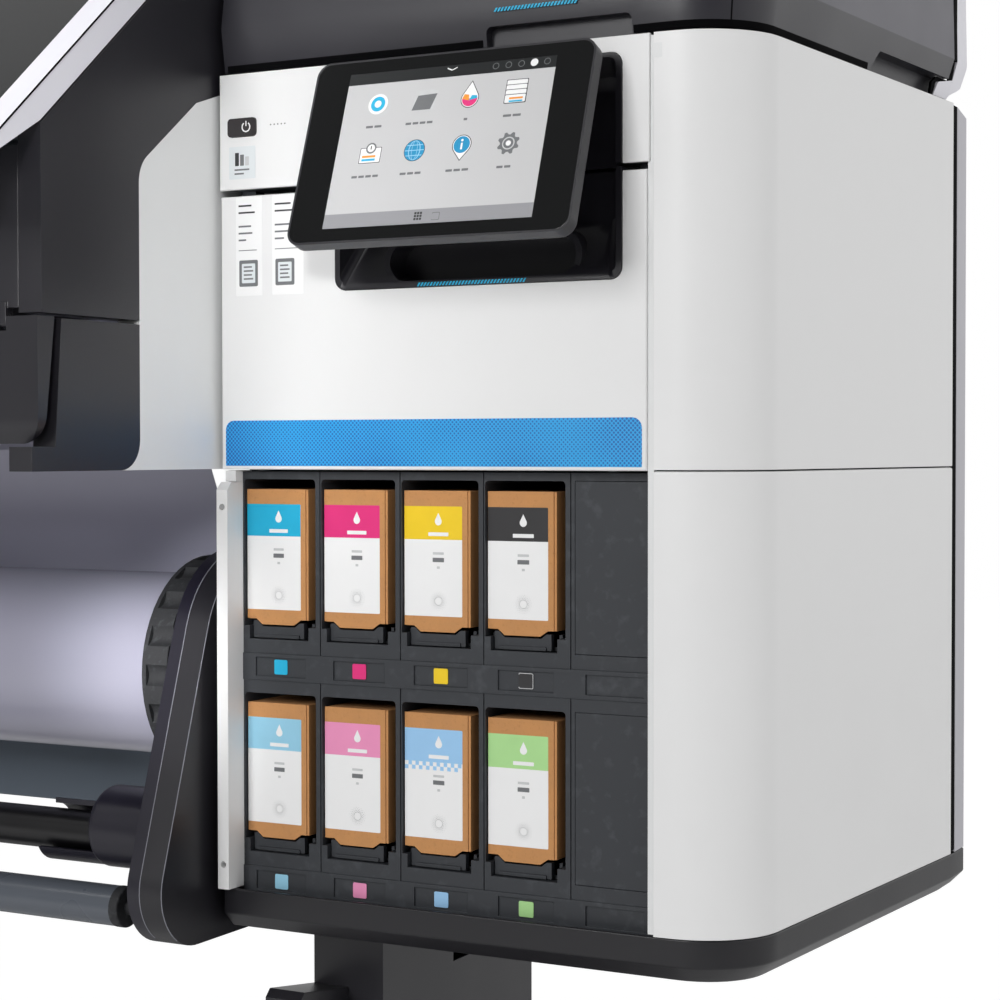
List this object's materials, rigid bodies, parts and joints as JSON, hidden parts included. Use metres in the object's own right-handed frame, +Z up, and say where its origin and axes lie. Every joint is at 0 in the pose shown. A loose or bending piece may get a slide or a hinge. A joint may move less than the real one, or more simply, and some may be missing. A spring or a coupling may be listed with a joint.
{
  "type": "wide-format roll printer with cutter",
  "caption": "Wide-format roll printer with an internal rotary cutter, a tilting touch display, removable ink cartons, a hinged window and a floor stand.",
  "frame": {"origin": "middle of the footprint, on the floor", "axes": "+X to the right of someone who stands in front, along the print width; +Y to the back; +Z up"},
  "size_m": [2.583, 0.852, 1.402],
  "materials": {
    "white_panel": "satin white",
    "white_plastic": "satin white moulding",
    "light_grey_plastic": "fine textured light grey",
    "charcoal_plastic": "fine textured charcoal",
    "charcoal_cap": "fine textured charcoal",
    "rack_plastic": "moulded dark plastic",
    "stand_steel": "powder coated charcoal",
    "chassis_steel": "zinc grey",
    "grey_panel": "semi-gloss blue grey",
    "kraft_board": "plain carton board",
    "core_board": "spiral wound board",
    "media_vinyl": "white film",
    "black_tube": "satin black",
    "roller_grey": "anodised",
    "black_rubber": "ribbed",
    "machined_steel": "ground",
    "extruded_aluminium": "anodised",
    "screen_glass": "gloss black front",
    "window_acrylic": "smoked",
    "button_black": "gloss black",
    "screw_steel": "zinc plated"
  },
  "bodies": {
    "frame": {"leg_frame": "stand_steel", "foot_spars": "stand_steel", "levelling_feet": "black_rubber", "stand_brackets": "stand_steel", "roll_arms_outer": "charcoal_plastic", "roll_arms_inner": "charcoal_plastic", "tube_hubs": "charcoal_plastic", "media_web": "media_vinyl", "cross_panel": "grey_panel", "panel_screws": "screw_steel", "right_chassis": "chassis_steel", "right_corner_panels": "white_panel", "skirts": "charcoal_plastic", "cartridge_rack": "rack_plastic", "bay_trims": "rack_plastic", "bay_post": "light_grey_plastic", "display_pocket": "charcoal_plastic", "upper_panel": "white_panel", "top_covers": "charcoal_cap", "rear_covers": "light_grey_plastic", "rear_top_covers": "light_grey_plastic", "left_cover": "white_panel", "left_chassis": "chassis_steel", "grey_ends": "light_grey_plastic", "dark_ends": "charcoal_plastic", "curing_housing": "charcoal_plastic", "platen": "extruded_aluminium", "frame_beams": "chassis_steel", "guide_rails": "extruded_aluminium", "belt_drive": "black_rubber", "service_station": "rack_plastic", "hinge_pins": "machined_steel"},
    "door": {"front_door": "white_panel", "door_pocket": "charcoal_plastic"},
    "display": {"display_shell": "charcoal_plastic", "display_glass": "screen_glass"},
    "button": {"power_button": "button_black"},
    "cap": {"right_cap": "charcoal_cap"},
    "window": {"window_frame": "white_plastic", "window_pane": "window_acrylic"},
    "flap": {"curing_flap": "charcoal_plastic"},
    "carriage": {"print_carriage": "charcoal_plastic"},
    "cutter": {"cutter_carriage": "charcoal_plastic"},
    "blade": {"cutter_blade": "machined_steel"},
    "drive": {"drive_roller": "black_rubber"},
    "pinch": {"pinch_rollers": "machined_steel"},
    "roll": {"media_roll": "media_vinyl", "roll_core": "core_board", "roll_hubs": "charcoal_plastic"},
    "tube": {"take_up_tube": "black_tube"},
    "guide": {"guide_roller": "roller_grey", "roller_ends": "black_rubber"},
    "ink_1": {"ink_box_1": "kraft_board"},
    "ink_2": {"ink_box_2": "kraft_board"},
    "ink_3": {"ink_box_3": "kraft_board"},
    "ink_4": {"ink_box_4": "kraft_board"},
    "ink_5": {"ink_box_5": "kraft_board"},
    "ink_6": {"ink_box_6": "kraft_board"},
    "ink_7": {"ink_box_7": "kraft_board"},
    "ink_8": {"ink_box_8": "kraft_board"}
  },
  "joints": [
    {"name": "door_tilt", "type": "hinge", "parent": "frame", "child": "door", "pos_m": [1.0095, -0.127, 0.957], "axis": [1, 0, 0], "range_deg": [0, 12]},
    {"name": "display_tilt", "type": "hinge", "parent": "frame", "child": "display", "pos_m": [1.052, -0.16227, 1.17001], "axis": [1, 0, 0], "range_deg": [-10, 20]},
    {"name": "power_press", "type": "slide", "parent": "frame", "child": "button", "axis": [0, 1, 0], "range_m": [0, 0.0015], "stiffness_N_per_m": 800},
    {"name": "cap_lift", "type": "hinge", "parent": "frame", "child": "cap", "pos_m": [1.0615, 0.252, 1.392], "axis": [-1, 0, 0], "range_deg": [0, 50]},
    {"name": "window_lift", "type": "hinge", "parent": "frame", "child": "window", "pos_m": [-0.0205, -0.08, 1.388], "axis": [-1, 0, 0], "range_deg": [0, 65]},
    {"name": "flap_swing", "type": "hinge", "parent": "frame", "child": "flap", "pos_m": [-0.0205, -0.338, 1.054], "axis": [-1, 0, 0], "range_deg": [0, 75]},
    {"name": "carriage_slide", "type": "slide", "parent": "frame", "child": "carriage", "axis": [-1, 0, 0], "range_m": [0, 1.9]},
    {"name": "cutter_slide", "type": "slide", "parent": "frame", "child": "cutter", "axis": [-1, 0, 0], "range_m": [0, 1.59]},
    {"name": "blade_spin", "type": "hinge", "parent": "cutter", "child": "blade", "pos_m": [0.776, -0.136, 1.216], "axis": [0, 1, 0], "continuous": true},
    {"name": "drive_spin", "type": "hinge", "parent": "frame", "child": "drive", "pos_m": [-0.0205, 0.014, 1.188], "axis": [1, 0, 0], "continuous": true},
    {"name": "pinch_spin", "type": "hinge", "parent": "frame", "child": "pinch", "pos_m": [-0.0205, 0.014, 1.2092], "axis": [1, 0, 0], "continuous": true},
    {"name": "roll_spin", "type": "hinge", "parent": "frame", "child": "roll", "pos_m": [-0.0205, -0.056, 0.79], "axis": [1, 0, 0], "continuous": true},
    {"name": "tube_spin", "type": "hinge", "parent": "frame", "child": "tube", "pos_m": [-0.0205, -0.151, 0.664], "axis": [1, 0, 0], "continuous": true},
    {"name": "guide_spin", "type": "hinge", "parent": "frame", "child": "guide", "pos_m": [-0.0205, -0.171, 0.613], "axis": [1, 0, 0], "continuous": true},
    {"name": "ink_1_slide", "type": "slide", "parent": "frame", "child": "ink_1", "axis": [0, -1, 0], "range_m": [0, 0.25]},
    {"name": "ink_2_slide", "type": "slide", "parent": "frame", "child": "ink_2", "axis": [0, -1, 0], "range_m": [0, 0.25]},
    {"name": "ink_3_slide", "type": "slide", "parent": "frame", "child": "ink_3", "axis": [0, -1, 0], "range_m": [0, 0.25]},
    {"name": "ink_4_slide", "type": "slide", "parent": "frame", "child": "ink_4", "axis": [0, -1, 0], "range_m": [0, 0.25]},
    {"name": "ink_5_slide", "type": "slide", "parent": "frame", "child": "ink_5", "axis": [0, -1, 0], "range_m": [0, 0.25]},
    {"name": "ink_6_slide", "type": "slide", "parent": "frame", "child": "ink_6", "axis": [0, -1, 0], "range_m": [0, 0.25]},
    {"name": "ink_7_slide", "type": "slide", "parent": "frame", "child": "ink_7", "axis": [0, -1, 0], "range_m": [0, 0.25]},
    {"name": "ink_8_slide", "type": "slide", "parent": "frame", "child": "ink_8", "axis": [0, -1, 0], "range_m": [0, 0.25]}
  ],
  "couplings": [
    {"joint": "blade_spin", "follows": "cutter_slide", "rad_per_m": -58.824},
    {"joint": "pinch_spin", "follows": "drive_spin", "ratio": -2.3333},
    {"joint": "roll_spin", "follows": "drive_spin", "ratio": 0.18717}
  ]
}
